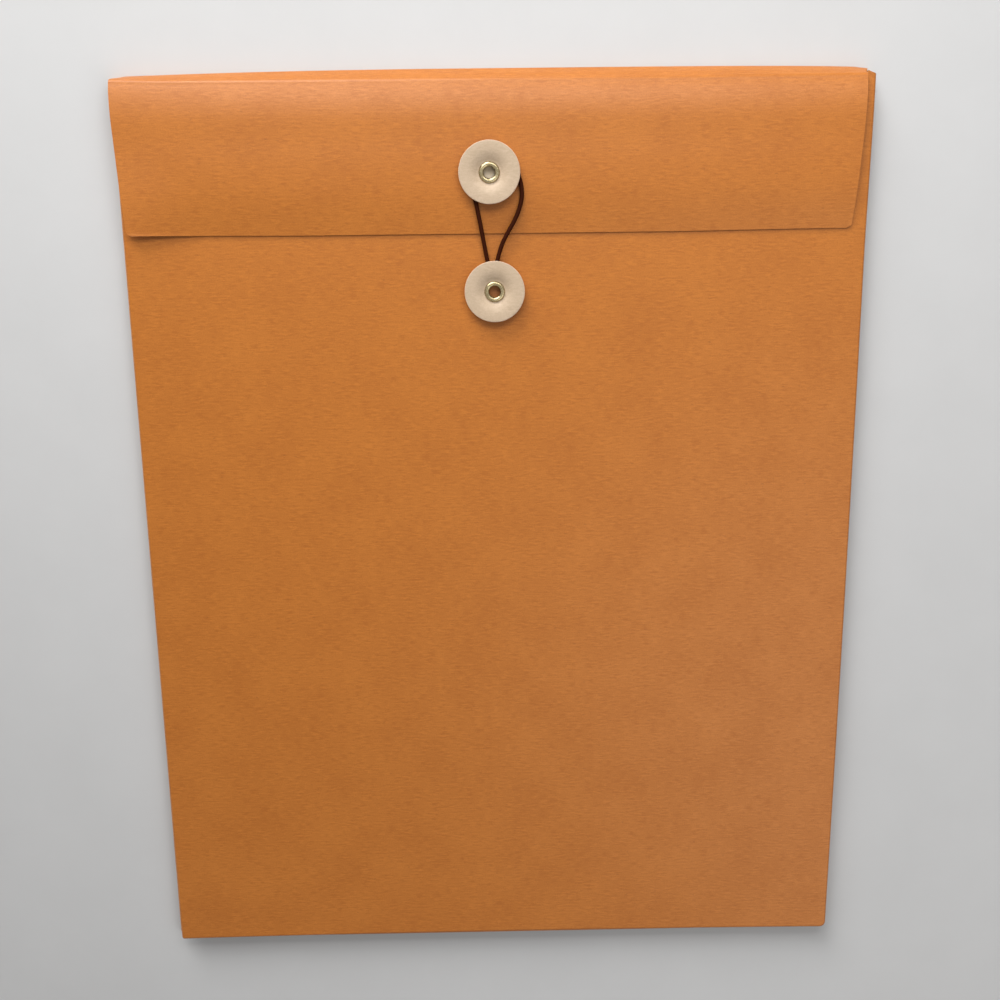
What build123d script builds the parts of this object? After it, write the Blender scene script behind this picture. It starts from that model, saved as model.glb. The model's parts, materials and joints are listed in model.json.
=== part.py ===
from build123d import *
import os
from math import asin, cos, hypot, radians, sin, sqrt, tan

# String tie envelope for A4 sheets, lying on its back panel.
# X runs across the envelope, Y up towards the flap, Z out of the front panel.
# The origin is the middle of the back panel's outer face. Sizes are in millimetres.

# Body sheet and pocket
width = 245.0  # side fold to side fold
back_height = 311.3  # bottom fold to the rear crease
paper = 0.40  # thickness of the body sheet
pocket_depth = 5.0  # clear gap between the two panels
mouth_drop = 1.0  # top edge of the front panel below the front crease
corner_round = 1.0  # bottom corners of both panels
fold_round = 0.30  # outer edge of the front panel's folds

# Flap and its double-creased spine
spine_drop = 3.55  # front crease below the rear crease
flap_short = 2.0  # flap narrower than the pocket, at its right end
flap_depth = 48.4  # front crease to the free edge
flap_taper = 2.8  # loss at each side by the free edge
flap_corner = 2.5  # corner radius of the free edge
flap_bow = 200.0  # radius of the flap's arch from the front crease to the free edge
flap_gap = 0.45  # both ends of the arch above the front panel
crease_gap = 0.25  # clearance round the bead of each crease

# Gussets of thinner paper, folded to a V between the panels
gusset_paper = 0.25
gusset_half = 10.0  # edge fold to middle fold
seam_width = 9.0  # strip glued to the panel
seam_inset = 0.30  # seam inside the panel's edge
fold_gap = 0.05  # clearance at the gusset's folds
mitre_gap = 0.15  # clearance between the gussets at the bottom corners

# Buttons: a dished fibre disc that turns on an eyelet
flap_button_x = -1.9
flap_button_drop = 29.3  # below the front crease
front_button_x = -0.6
button_spacing = 38.0  # front button below the flap button
disc_diameter = 20.0
disc_paper = 0.80
dish_height = 2.4  # underside of the rim above the panel
hub_diameter = 6.8  # flat middle of the disc
disc_edge = 0.20  # rounding of the rim
eyelet_bore = 4.1
eyelet_wall = 0.30
eyelet_head = 6.6  # front flange
eyelet_head_height = 0.60
eyelet_clinch = 6.4  # rear flange
eyelet_clinch_height = 0.30
patch_diameter = 13.0  # glued over the clinch
patch_paper = 0.25
hole_gap = 0.05  # eyelet in the panel
spin_gap = 0.10  # disc on the eyelet
seat_gap = 0.10  # disc above the panel and below the flange
clinch_gap = 0.15  # clinch below the panel

# Elastic loop
cord_diameter = 1.4

# Places that follow from the sizes
half_width = width / 2
bottom_y = -(back_height + paper / 2) / 2
rear_y = bottom_y + back_height
rear_z = paper / 2
back_inner_z = paper
front_inner_z = paper + pocket_depth
front_top_z = front_inner_z + paper
crease_y = rear_y - spine_drop
mouth_y = crease_y - mouth_drop
flap_edge_y = crease_y - flap_depth
flap_button_y = crease_y - flap_button_drop
front_button_y = flap_button_y - button_spacing
flap_width = width - flap_short
flap_middle = -flap_short / 2
bow_y = crease_y - flap_depth / 2
bow_z = front_top_z + flap_gap - sqrt(flap_bow**2 - (flap_depth / 2) ** 2)
flap_top_z = bow_z + flap_bow + paper
flap_seat_z = bow_z + sqrt((flap_bow + paper) ** 2 - (bow_y - flap_button_y) ** 2)
crease_z = bow_z + sqrt((flap_bow + paper / 2) ** 2 - (flap_depth / 2) ** 2)
crease_reach = paper / 2 + crease_gap
barrel_radius = eyelet_bore / 2 + eyelet_wall
hole_radius = barrel_radius + hole_gap

# Route of the elastic loop: both ends lie under the front button's disc,
# and the bight passes round the flap button's eyelet under its disc.
cord_route = [
    (-2.15, 91.05, 6.60),
    (-2.85, 94.45, 6.86),
    (-3.70, 99.15, 7.37),
    (-4.55, 103.85, 7.90),
    (-5.40, 108.45, 8.34),
    (-6.35, 113.25, 8.70),
    (-7.35, 117.45, 8.88),
    (-8.15, 121.25, 8.95),
    (-8.05, 125.05, 8.96),
    (-6.40, 128.35, 8.96),
    (-3.30, 130.35, 8.96),
    (0.50, 130.65, 8.96),
    (4.00, 129.15, 8.96),
    (6.30, 126.25, 8.96),
    (7.30, 122.85, 8.95),
    (8.35, 119.45, 8.90),
    (8.75, 116.05, 8.82),
    (8.25, 112.45, 8.66),
    (6.60, 108.25, 8.36),
    (4.25, 104.25, 7.97),
    (2.25, 100.75, 7.57),
    (1.05, 97.25, 7.18),
    (0.20, 94.05, 6.85),
    (-0.55, 91.05, 6.60),
]
bend_share = 0.45  # of the shorter run, taken up by each bend


def slab(outline, low_z, high_z):
    """Sheet with a closed outline of (x, y) points between two heights."""
    face = make_face(Polyline(*outline, close=True))
    return Pos(0, 0, low_z) * extrude(face, high_z - low_z, dir=(0, 0, 1))


def turned(profile, x, y, z):
    """Solid of revolution about an upright axis through (x, y), from an (r, z) face."""
    return Pos(x, y, z) * revolve(Plane.XZ * profile, Axis.Z)


def bottom_corners(solid):
    """Upright edges at the two bottom corners of a panel."""
    return solid.edges().filter_by(Axis.Z).group_by(Axis.Y)[0]


def panel(top_y, low_z, high_z):
    """Rectangular panel of the pocket with rounded bottom corners."""
    outline = [
        (-half_width, bottom_y),
        (half_width, bottom_y),
        (half_width, top_y),
        (-half_width, top_y),
    ]
    sheet = slab(outline, low_z, high_z)
    return fillet(bottom_corners(sheet), corner_round)


def punched(sheet, x, y, top_z):
    """Sheet with the hole that an eyelet passes through."""
    hole = extrude(Circle(hole_radius), 2 * paper, both=True)
    return sheet - Pos(x, y, top_z) * hole


def make_back_panel():
    return panel(rear_y - crease_reach, 0, paper)


def make_front_panel():
    sheet = panel(mouth_y, front_inner_z, front_top_z)
    outer_face = sheet.faces().sort_by(Axis.Z)[-1]
    folds = outer_face.edges().sort_by(Axis.Y)[:-1]
    sheet = fillet(folds, fold_round)
    return punched(sheet, front_button_x, front_button_y, front_top_z)


def crease_bead(y, z):
    """Round edge of a crease, on the axis that it folds about."""
    bead = Plane.YZ * Circle(paper / 2)
    return Pos(flap_middle - flap_width / 2, y, z) * extrude(bead, flap_width)


def make_flap_spine():
    rise = crease_z - rear_z
    length = hypot(spine_drop, rise)
    along = (0, -spine_drop / length, rise / length)
    plane = Plane(
        (flap_middle - flap_width / 2, rear_y, rear_z), x_dir=along, z_dir=(1, 0, 0)
    )
    strip_length = length - crease_reach
    strip = plane * Pos(strip_length / 2, 0) * Rectangle(strip_length, paper)
    return extrude(strip, flap_width, dir=(1, 0, 0)) + crease_bead(rear_y, rear_z)


def arch():
    """Round shell about an axis along X that the flap's bow is a part of."""
    shell = Circle(flap_bow + paper) - Circle(flap_bow)
    start = Plane((flap_middle - flap_width / 2, bow_y, bow_z), z_dir=(1, 0, 0))
    return extrude(start * shell, flap_width)


def make_flap_panel():
    half_crease = flap_width / 2
    half_edge = half_crease - flap_taper
    outline = [
        (flap_middle - half_crease, crease_y),
        (flap_middle - half_edge, flap_edge_y),
        (flap_middle + half_edge, flap_edge_y),
        (flap_middle + half_crease, crease_y),
    ]
    cut = fillet(bottom_corners(slab(outline, front_inner_z, flap_top_z)), flap_corner)
    sheet = (cut & arch()) + crease_bead(crease_y, crease_z)
    return punched(sheet, flap_button_x, flap_button_y, flap_seat_z)


# Seams and gussets run up both sides and along the bottom, mitred where they meet
seam_x = half_width - seam_inset
seam_y = bottom_y + seam_inset
fold_x = seam_x - gusset_paper / 2
fold_y = seam_y + gusset_paper / 2
back_fold_z = back_inner_z + 1.5 * gusset_paper + fold_gap
front_fold_z = front_inner_z - 1.5 * gusset_paper - fold_gap
gusset_rise = (front_fold_z - back_fold_z - gusset_paper) / 2 - fold_gap
gusset_tilt = asin(gusset_rise / gusset_half)

# The side of X that a strip starts at, its way in from the edge and its way along it
sides = {
    "left": (-1, (1, 0), (0, 1)),
    "right": (1, (-1, 0), (0, 1)),
    "bottom": (-1, (0, 1), (1, 0)),
}


def strip_outline(side, reach, edge_x, edge_y, gap):
    """Flat strip as (in from the edge, along the edge), mitred at the bottom corners."""
    if side == "bottom":
        end = 2 * edge_x
        return [(0, gap), (reach, reach + gap), (reach, end - reach - gap), (0, end - gap)]
    end = mouth_y - edge_y
    return [(0, gap), (reach, reach + gap), (reach, end), (0, end)]


def strip_plane(side, edge_x, edge_y, z, tilt):
    """Plane of a strip that rises by the tilt on its way in from the edge."""
    corner, inward, along = sides[side]
    into = Vector(inward[0] * cos(tilt), inward[1] * cos(tilt), sin(tilt))
    return Plane((corner * edge_x, edge_y, z), x_dir=into, z_dir=into.cross(Vector(*along)))


def make_seam(side, low_z):
    """Strip of gusset paper glued flat to a panel."""
    outline = strip_outline(side, seam_width, seam_x, seam_y, 0)
    plane = strip_plane(side, seam_x, seam_y, low_z + gusset_paper / 2, 0)
    face = plane * make_face(Polyline(*outline, close=True))
    return extrude(face, gusset_paper / 2, both=True)


def make_gusset_half(side, fold_z, tilt):
    """Half of a V-folded gusset, with a bead on the fold that it turns about."""
    outline = strip_outline(side, gusset_half, fold_x, fold_y, mitre_gap)
    plane = strip_plane(side, fold_x, fold_y, fold_z, tilt)
    face = plane * make_face(Polyline(*outline, close=True))
    first, last = outline[0], outline[-1]
    bead = Pos(0, first[1]) * Rot(-90, 0, 0) * extrude(
        Circle(gusset_paper / 2), last[1] - first[1]
    )
    return extrude(face, gusset_paper / 2, both=True) + plane.location * bead


def disc_profile():
    """Half section of the dished disc, level at its rim."""
    rim = disc_diameter / 2
    hub = hub_diameter / 2
    bore = barrel_radius + spin_gap
    rise = dish_height - seat_gap
    radius = ((rim - hub) ** 2 + rise**2) / (2 * rise)
    half_angle = asin((rim - hub) / radius) / 2
    middle = (rim - radius * sin(half_angle), dish_height - radius * (1 - cos(half_angle)))
    under = ThreePointArc((hub, seat_gap), middle, (rim, dish_height))
    over = Pos(0, disc_paper) * under
    outline = [
        Line((bore, seat_gap), (hub, seat_gap)),
        under,
        Line((rim, dish_height), (rim, dish_height + disc_paper)),
        over,
        Line((hub, seat_gap + disc_paper), (bore, seat_gap + disc_paper)),
        Line((bore, seat_gap + disc_paper), (bore, seat_gap)),
    ]
    section = make_face(outline)
    return fillet(section.vertices().sort_by(Axis.X)[-2:], disc_edge)


def make_disc(x, y, panel_top_z):
    return turned(disc_profile(), x, y, panel_top_z)


def make_eyelet(x, y, panel_top_z):
    """Eyelet with a rolled head over the disc and a flat clinch under the panel."""
    bore = eyelet_bore / 2
    head = eyelet_head / 2
    clinch = eyelet_clinch / 2
    head_low = 2 * seat_gap + disc_paper
    head_high = head_low + eyelet_head_height
    clinch_high = -paper - clinch_gap
    clinch_low = clinch_high - eyelet_clinch_height
    crown = ((bore + head) / 2, head_high)
    outline = [
        Line((bore, clinch_low), (bore, head_low)),
        ThreePointArc((bore, head_low), crown, (head, head_low)),
        Polyline(
            (head, head_low),
            (barrel_radius, head_low),
            (barrel_radius, clinch_high),
            (clinch, clinch_high),
            (clinch, clinch_low),
            (bore, clinch_low),
        ),
    ]
    return turned(make_face(outline), x, y, panel_top_z)


def make_patch(x, y, panel_top_z):
    """Round patch that covers the eyelet's clinch."""
    high_z = panel_top_z - paper - clinch_gap - eyelet_clinch_height
    return Pos(x, y, high_z - patch_paper) * extrude(Circle(patch_diameter / 2), patch_paper)


def bend_radii(points):
    """Radius of each bend of a route, from its shorter run and its turn."""
    corners = [Vector(*point) for point in points]
    radii = []
    for before, here, after in zip(corners, corners[1:], corners[2:]):
        turn = (here - before).get_angle(after - here)
        shorter = min((here - before).length, (after - here).length)
        radii.append(bend_share * shorter / tan(radians(turn) / 2))
    return radii


def make_elastic_loop():
    radii = bend_radii(cord_route)
    path = FilletPolyline(*cord_route, radius=radii)
    start = Plane(path @ 0, z_dir=path % 0)
    cord = sweep(start * Circle(cord_diameter / 2), path=path)
    section = Circle(cord_diameter / 2).area
    print("cord length", round(path.length, 2), "smallest bend", round(min(radii), 2))
    print("cord volume over section times length", round(cord.volume / section / path.length, 4))
    return cord


nodes = {
    "back_panel": make_back_panel(),
    "front_panel": make_front_panel(),
    "flap_spine": make_flap_spine(),
    "flap_panel": make_flap_panel(),
    "elastic_loop": make_elastic_loop(),
}
for side in sides:
    nodes[f"{side}_gusset_back_half"] = make_gusset_half(side, back_fold_z, gusset_tilt)
    nodes[f"{side}_gusset_front_half"] = make_gusset_half(side, front_fold_z, -gusset_tilt)
    nodes[f"{side}_back_seam"] = make_seam(side, back_inner_z)
    nodes[f"{side}_front_seam"] = make_seam(side, front_inner_z - gusset_paper)
for name, place in {
    "flap_button": (flap_button_x, flap_button_y, flap_seat_z),
    "front_button": (front_button_x, front_button_y, front_top_z),
}.items():
    nodes[f"{name}_disc"] = make_disc(*place)
    nodes[f"{name}_eyelet"] = make_eyelet(*place)
    nodes[f"{name}_patch"] = make_patch(*place)

os.makedirs("parts", exist_ok=True)
for name, shape in nodes.items():
    export_step(shape, f"parts/{name}.step")
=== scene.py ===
"""String tie envelope: a paper pocket with a folded flap, two disc buttons and an elastic loop."""

import json
import logging
from collections.abc import Callable, Mapping
from dataclasses import dataclass
from enum import Enum
from functools import cached_property
from math import asin, atan2, cos, exp, pi, radians, sin, sqrt, tan
from typing import Self

import bmesh
import bpy
from bmesh.types import BMEdge, BMesh, BMVert
from bpy.types import Material, Node, NodeSocket, NodeTree, Object
from mathutils import Matrix, Quaternion, Vector


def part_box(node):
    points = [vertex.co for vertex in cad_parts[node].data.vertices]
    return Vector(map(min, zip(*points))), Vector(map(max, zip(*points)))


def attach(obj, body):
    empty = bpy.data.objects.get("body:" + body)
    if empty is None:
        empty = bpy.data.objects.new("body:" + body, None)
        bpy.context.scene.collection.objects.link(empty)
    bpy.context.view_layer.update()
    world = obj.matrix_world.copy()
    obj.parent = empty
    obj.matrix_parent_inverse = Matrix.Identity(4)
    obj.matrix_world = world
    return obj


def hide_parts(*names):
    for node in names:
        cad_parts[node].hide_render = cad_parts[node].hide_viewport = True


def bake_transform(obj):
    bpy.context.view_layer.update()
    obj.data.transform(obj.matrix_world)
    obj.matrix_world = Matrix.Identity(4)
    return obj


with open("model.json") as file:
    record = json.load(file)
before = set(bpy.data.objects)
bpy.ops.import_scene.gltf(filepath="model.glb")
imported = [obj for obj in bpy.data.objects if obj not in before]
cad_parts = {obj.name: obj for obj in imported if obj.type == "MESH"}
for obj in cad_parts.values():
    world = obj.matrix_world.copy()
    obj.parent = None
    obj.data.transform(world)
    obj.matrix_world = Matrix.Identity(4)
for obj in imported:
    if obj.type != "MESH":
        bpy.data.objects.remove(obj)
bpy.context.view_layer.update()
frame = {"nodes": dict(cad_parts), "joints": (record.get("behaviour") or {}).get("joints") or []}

LOG = logging.getLogger("string_tie_envelope")
MM = 0.001
SHEET_UNIT = 100.0  # millimetres of paper for one unit of its UV map
NEAR = 1e-4  # millimetres within which two points are one
FIT = 0.02  # millimetres within which a point is on a ring
HOLE_CUTS = 4  # cuts of each edge of the grid round a hole
ROUND_STEPS = 4  # steps across the rounding of a ring

Colour = tuple[float, float, float]
Point = tuple[float, float, float]
Span = tuple[float, float]
Inputs = dict[str | int, object]

UNIT: Span = (0.0, 1.0)
WHITE: Colour = (1.0, 1.0, 1.0)


class Body(Enum):
    """Moving bodies of the envelope that the pieces ride on."""

    BACK = "pocket_back"
    FRONT = "pocket_front"
    SPINE = "spine"
    FLAP = "flap"


class Coordinates(Enum):
    """Where a finish takes the place of its pattern from."""

    SHEET = "UV"
    SOLID = "Object"


def opaque(colour: Colour) -> tuple[float, float, float, float]:
    """Colour with a full alpha."""
    return (*colour, 1.0)


def smooth_step(low: float, high: float, value: float) -> float:
    """Smooth rise from 0 at low to 1 at high; a fall where high is the lesser."""
    share = min(max((value - low) / (high - low), 0.0), 1.0)
    return share * share * (3.0 - 2.0 * share)


def box_mm(node: str) -> tuple[Vector, Vector]:
    """Lowest and highest corner of a solid, in millimetres."""
    low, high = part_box(node)
    return low / MM, high / MM


def fold_place(joint: str) -> Vector:
    """Point on the axis of a joint, in millimetres."""
    row = next(row for row in frame["joints"] if row["name"] == joint)
    return Vector(row["pos_m"]) / MM


class NodeBoard:
    """Places and joins the nodes of one tree."""

    def __init__(self, tree: NodeTree) -> None:
        """Start on an empty tree."""
        self.tree = tree
        self.tree.nodes.clear()

    def add(self, kind: str, inputs: Inputs | None = None, **settings: object) -> Node:
        """Place a node.

        Args:
            kind: Type of the node.
            inputs: Sockets or plain values for its inputs, by name or number.
            **settings: Properties to set on it.

        Returns:
            The node.
        """
        node = self.tree.nodes.new(kind)
        for name, value in settings.items():
            setattr(node, name, value)
        self.feed(node, inputs or {})
        return node

    def feed(self, node: Node, inputs: Inputs) -> None:
        """Join sockets to the inputs of a node, or set the inputs' own values.

        Args:
            node: The node.
            inputs: Sockets of other nodes or plain values, by the input's name or number.
        """
        for label, value in inputs.items():
            if isinstance(value, NodeSocket):
                self.tree.links.new(value, node.inputs[label])
            else:
                node.inputs[label].default_value = value

    def stretched(self, vector: NodeSocket, scale: Point | NodeSocket) -> NodeSocket:
        """Coordinates times a scale along each axis."""
        return self.add("ShaderNodeVectorMath", {0: vector, 1: scale}, operation="MULTIPLY").outputs[0]

    def noise(
        self, vector: NodeSocket, scale: float | NodeSocket, detail: float, rough: float = 0.5
    ) -> NodeSocket:
        """Cloudy values about one half, of some octaves and some weight of the finer ones."""
        inputs = {"Vector": vector, "Scale": scale, "Detail": detail, "Roughness": rough}
        return self.add("ShaderNodeTexNoise", inputs).outputs[0]

    def sum(self, operation: str, first: object, second: object) -> NodeSocket:
        """Arithmetic on two sockets or numbers."""
        return self.add("ShaderNodeMath", {0: first, 1: second}, operation=operation).outputs[0]

    def weighted(self, base: float, *parts: tuple[NodeSocket, float]) -> NodeSocket:
        """Sum of weighted values.

        Args:
            base: What the sum starts from.
            *parts: Values and their weights.

        Returns:
            The sum.
        """
        total: object = base
        for value, weight in parts:
            total = self.sum("ADD", self.sum("MULTIPLY", value, weight), total)
        return total

    def spread(self, value: NodeSocket, span: Span, result: Span) -> NodeSocket:
        """Values of one span laid out over another, held at its ends."""
        return self.add("ShaderNodeMapRange", dict(enumerate((value, *span, *result)))).outputs[0]

    def blend(self, share: object, first: Colour | NodeSocket, second: Colour | NodeSocket) -> NodeSocket:
        """Colour between two colours, by the share of the second."""
        ends = [opaque(colour) if isinstance(colour, tuple) else colour for colour in (first, second)]
        return self.add("ShaderNodeMix", {0: share, 6: ends[0], 7: ends[1]}, data_type="RGBA").outputs[2]

    def mix(self, share: NodeSocket, first: NodeSocket, second: NodeSocket) -> NodeSocket:
        """Shader between two shaders, by the share of the second."""
        return self.add("ShaderNodeMixShader", {0: share, 1: first, 2: second}).outputs[0]

    def background_rays(self) -> NodeSocket:
        """Tell the rays that show the background: from the camera, mirrored or through glass.

        Returns:
            1 for those rays, else 0.
        """
        rays = self.add("ShaderNodeLightPath").outputs
        seen = self.sum("MAXIMUM", rays["Is Camera Ray"], rays["Is Glossy Ray"])
        return self.sum("MAXIMUM", seen, rays["Is Transmission Ray"])


@dataclass(frozen=True)
class PaperFibre:
    """Shared pattern of machine-made paper: streaks one way, clouds, grain and specks."""

    streak_noise: Span = (3.0, 0.65)
    cloud_noise: Span = (3.0, 0.55)
    grain_scale: float = 240.0
    grain_noise: Span = (2.0, 0.6)
    patch_scale: float = 26.0
    patch_detail: float = 2.0
    patch_span: Span = (0.35, 0.65)
    patch_strength: Span = (0.3, 1.3)
    speck_scale: Point = (55.0, 150.0, 150.0)
    speck_detail: float = 1.0
    speck_span: Span = (0.70, 0.80)
    tone_base: float = 0.25
    tone_weights: tuple[float, float, float] = (0.60, 0.20, 0.30)
    tone_span: Span = (0.41, 0.59)
    height_weights: Span = (0.7, 0.3)

    def group(self) -> NodeTree:
        """Build the node group.

        Returns:
            The group.
        """
        group = bpy.data.node_groups.new("paper_fibre", "ShaderNodeTree")
        group.interface.new_socket("Vector", in_out="INPUT", socket_type="NodeSocketVector")
        values = {"INPUT": ("Along", "Across", "Clouds"), "OUTPUT": ("Tone", "Specks", "Height")}
        for way, labels in values.items():
            for label in labels:
                group.interface.new_socket(label, in_out=way, socket_type="NodeSocketFloat")
        board = NodeBoard(group)
        entry = board.add("NodeGroupInput").outputs
        place = entry["Vector"]
        axes = {0: entry["Along"], 1: entry["Across"], 2: entry["Across"]}
        scale = board.add("ShaderNodeCombineXYZ", axes).outputs[0]
        streaks = board.noise(board.stretched(place, scale), 1.0, *self.streak_noise)
        clouds = board.noise(place, entry["Clouds"], *self.cloud_noise)
        grain = board.noise(place, self.grain_scale, *self.grain_noise)
        patches = board.noise(place, self.patch_scale, self.patch_detail)
        patches = board.spread(patches, self.patch_span, self.patch_strength)
        dashes = board.sum("MULTIPLY", board.sum("SUBTRACT", streaks, 0.5), patches)
        specks = board.noise(board.stretched(place, self.speck_scale), 1.0, self.speck_detail)
        tone = board.weighted(self.tone_base, *zip((dashes, clouds, grain), self.tone_weights))
        results = {
            "Tone": board.spread(tone, self.tone_span, UNIT),
            "Specks": board.spread(specks, self.speck_span, UNIT),
            "Height": board.weighted(0.0, *zip((streaks, grain), self.height_weights)),
        }
        board.add("NodeGroupOutput", results)
        return group


class Coat(NodeBoard):
    """Board of a material in the making, with its Principled shader."""

    def __init__(self, material: Material, fibre: NodeTree) -> None:
        """Start with the shader alone.

        Args:
            material: The material.
            fibre: Shared group of the paper's fibres.
        """
        material.use_nodes = True
        super().__init__(material.node_tree)
        self.fibre = fibre
        self.shader = self.add("ShaderNodeBsdfPrincipled")

    def place(self, kind: Coordinates, scale: float = 1.0) -> NodeSocket:
        """Coordinates of the pattern, times a scale."""
        place = self.add("ShaderNodeTexCoord").outputs[kind.value]
        return place if scale == 1.0 else self.stretched(place, (scale, scale, scale))

    def fibres(self, place: NodeSocket, scales: tuple[float, float, float]) -> Mapping[str, NodeSocket]:
        """Values of the fibre pattern, scaled along the streaks, across them and for the clouds."""
        inputs = {"Vector": place} | dict(zip(("Along", "Across", "Clouds"), scales))
        return self.add("ShaderNodeGroup", inputs, node_tree=self.fibre).outputs

    def emboss(self, height: NodeSocket, strength: float, depth: float) -> None:
        """Give the surface fine relief, of a strength and a depth in metres."""
        bump = self.add("ShaderNodeBump", {"Strength": strength, "Distance": depth, "Height": height})
        self.feed(self.shader, {"Normal": bump.outputs[0]})


@dataclass(frozen=True)
class Finish:
    """Base of the finishes: a named material between two tones."""

    name: str
    dark: Colour
    pale: Colour

    def material(self, fibre: NodeTree) -> Material:
        """Build the material.

        Args:
            fibre: Shared group of the paper's fibres.

        Returns:
            The material.
        """
        material = bpy.data.materials.new(self.name)
        coat = Coat(material, fibre)
        self.paint(coat)
        coat.add("ShaderNodeOutputMaterial", {"Surface": self.surface(coat)})
        return material

    def paint(self, coat: Coat) -> None:
        """Feed the shader of a coat."""
        raise NotImplementedError

    def surface(self, coat: Coat) -> NodeSocket:
        """Surface of a coat: its shader, where a finish mixes nothing in."""
        return coat.shader.outputs[0]


@dataclass(frozen=True)
class PaperFinish(Finish):
    """Paper with fibres one way and clouds of tone, and a few dark specks where it has any."""

    speck: Colour | None = None
    coordinates: Coordinates = Coordinates.SOLID
    scale: float = 10.0
    fibres: tuple[float, float, float] = (30.0, 150.0, 5.0)
    speck_share: float = 0.5
    roughness: Span = (0.48, 0.38)
    gloss: float = 0.42
    relief: Span = (0.25, 0.00012)

    def paint(self, coat: Coat) -> None:
        """Paint the paper.

        Args:
            coat: Material in the making.
        """
        fibre = coat.fibres(coat.place(self.coordinates, self.scale), self.fibres)
        paper = coat.blend(fibre["Tone"], self.dark, self.pale)
        if self.speck:
            specks = coat.sum("MULTIPLY", fibre["Specks"], self.speck_share)
            paper = coat.blend(specks, paper, self.speck)
        inputs = {
            "Base Color": paper,
            "Roughness": coat.spread(fibre["Tone"], UNIT, self.roughness),
            "Specular IOR Level": self.gloss,
        }
        coat.feed(coat.shader, inputs)
        coat.emboss(fibre["Height"], *self.relief)


@dataclass(frozen=True)
class BoardFinish(PaperFinish):
    """Vulcanised fibre board of the discs, cream with faint fibres and no specks."""

    fibres: tuple[float, float, float] = (60.0, 150.0, 18.0)
    roughness: Span = (0.61, 0.49)
    gloss: float = 0.5
    relief: Span = (0.12, 0.00008)


@dataclass(frozen=True)
class BrassFinish(Finish):
    """Pale plated brass, faintly scuffed."""

    tarnish_scale: float = 900.0
    tarnish_noise: Span = (4.0, 0.6)
    tarnish_span: Span = (0.3, 0.7)
    scuff_scale: Point = (6000.0, 1500.0, 3000.0)
    scuff_noise: Span = (2.0, 0.6)
    scuff_span: Span = (0.25, 0.75)
    roughness: Span = (0.18, 0.34)
    relief: Span = (0.08, 0.00004)

    def paint(self, coat: Coat) -> None:
        """Paint the brass.

        Args:
            coat: Material in the making.
        """
        place = coat.place(Coordinates.SOLID)
        tarnish = coat.noise(place, self.tarnish_scale, *self.tarnish_noise)
        tarnish = coat.spread(tarnish, self.tarnish_span, UNIT)
        scuffs = coat.noise(coat.stretched(place, self.scuff_scale), 1.0, *self.scuff_noise)
        inputs = {
            "Metallic": 1.0,
            "Base Color": coat.blend(tarnish, self.dark, self.pale),
            "Roughness": coat.spread(scuffs, self.scuff_span, self.roughness),
        }
        coat.feed(coat.shader, inputs)
        coat.emboss(scuffs, *self.relief)


@dataclass(frozen=True)
class SheathFinish(Finish):
    """Braided sheath of the elastic, in two crossing sets of threads."""

    threads: float = 8.0
    pitch: float = 2.4
    fuzz_scale: Point = (30.0, 12.0, 1.0)
    fuzz_noise: Span = (3.0, 0.6)
    weights: Span = (0.6, 0.4)
    roughness: Span = (0.85, 0.6)
    gloss: float = 0.06
    relief: Span = (0.5, 0.0001)

    def paint(self, coat: Coat) -> None:
        """Paint the braid.

        Args:
            coat: Material in the making.
        """
        place = coat.place(Coordinates.SHEET)
        parts = coat.add("ShaderNodeSeparateXYZ", {0: place}).outputs
        turn = self.threads * 2.0 * pi
        around = coat.sum("MULTIPLY", parts[0], turn)
        along = coat.sum("MULTIPLY", parts[1], turn / self.pitch)
        right = coat.sum("SINE", coat.sum("ADD", around, along), 0.0)
        left = coat.sum("SINE", coat.sum("SUBTRACT", around, along), 0.0)
        braid = coat.spread(coat.sum("MULTIPLY", right, left), (-1.0, 1.0), UNIT)
        fuzz = coat.noise(coat.stretched(place, self.fuzz_scale), 1.0, *self.fuzz_noise)
        tone = coat.weighted(0.0, *zip((braid, fuzz), self.weights))
        inputs = {
            "Base Color": coat.blend(tone, self.dark, self.pale),
            "Roughness": coat.spread(tone, UNIT, self.roughness),
            "Specular IOR Level": self.gloss,
        }
        coat.feed(coat.shader, inputs)
        coat.emboss(tone, *self.relief)


@dataclass(frozen=True)
class FloorFinish(Finish):
    """Plain pale table top that runs out into the backdrop, as the camera sees it."""

    backdrop: float
    fade: Span = (0.30, 0.75)
    cloud_scale: float = 30.0
    cloud_noise: Span = (4.0, 0.6)
    roughness: Span = (0.85, 0.95)
    gloss: float = 0.1

    def paint(self, coat: Coat) -> None:
        """Paint the table top.

        Args:
            coat: Material in the making.
        """
        clouds = coat.noise(coat.place(Coordinates.SOLID), self.cloud_scale, *self.cloud_noise)
        inputs = {
            "Base Color": coat.blend(clouds, self.dark, self.pale),
            "Roughness": coat.spread(clouds, UNIT, self.roughness),
            "Specular IOR Level": self.gloss,
        }
        coat.feed(coat.shader, inputs)

    def surface(self, coat: Coat) -> NodeSocket:
        """Table top that gives way to the backdrop farther out.

        Args:
            coat: Material in the making.

        Returns:
            The surface.
        """
        place = {0: coat.place(Coordinates.SOLID)}
        distance = coat.add("ShaderNodeVectorMath", place, operation="LENGTH").outputs["Value"]
        far = coat.sum("MULTIPLY", coat.spread(distance, self.fade, UNIT), coat.background_rays())
        glow = coat.add("ShaderNodeEmission", {"Strength": self.backdrop}).outputs[0]
        return coat.mix(far, coat.shader.outputs[0], glow)


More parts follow.
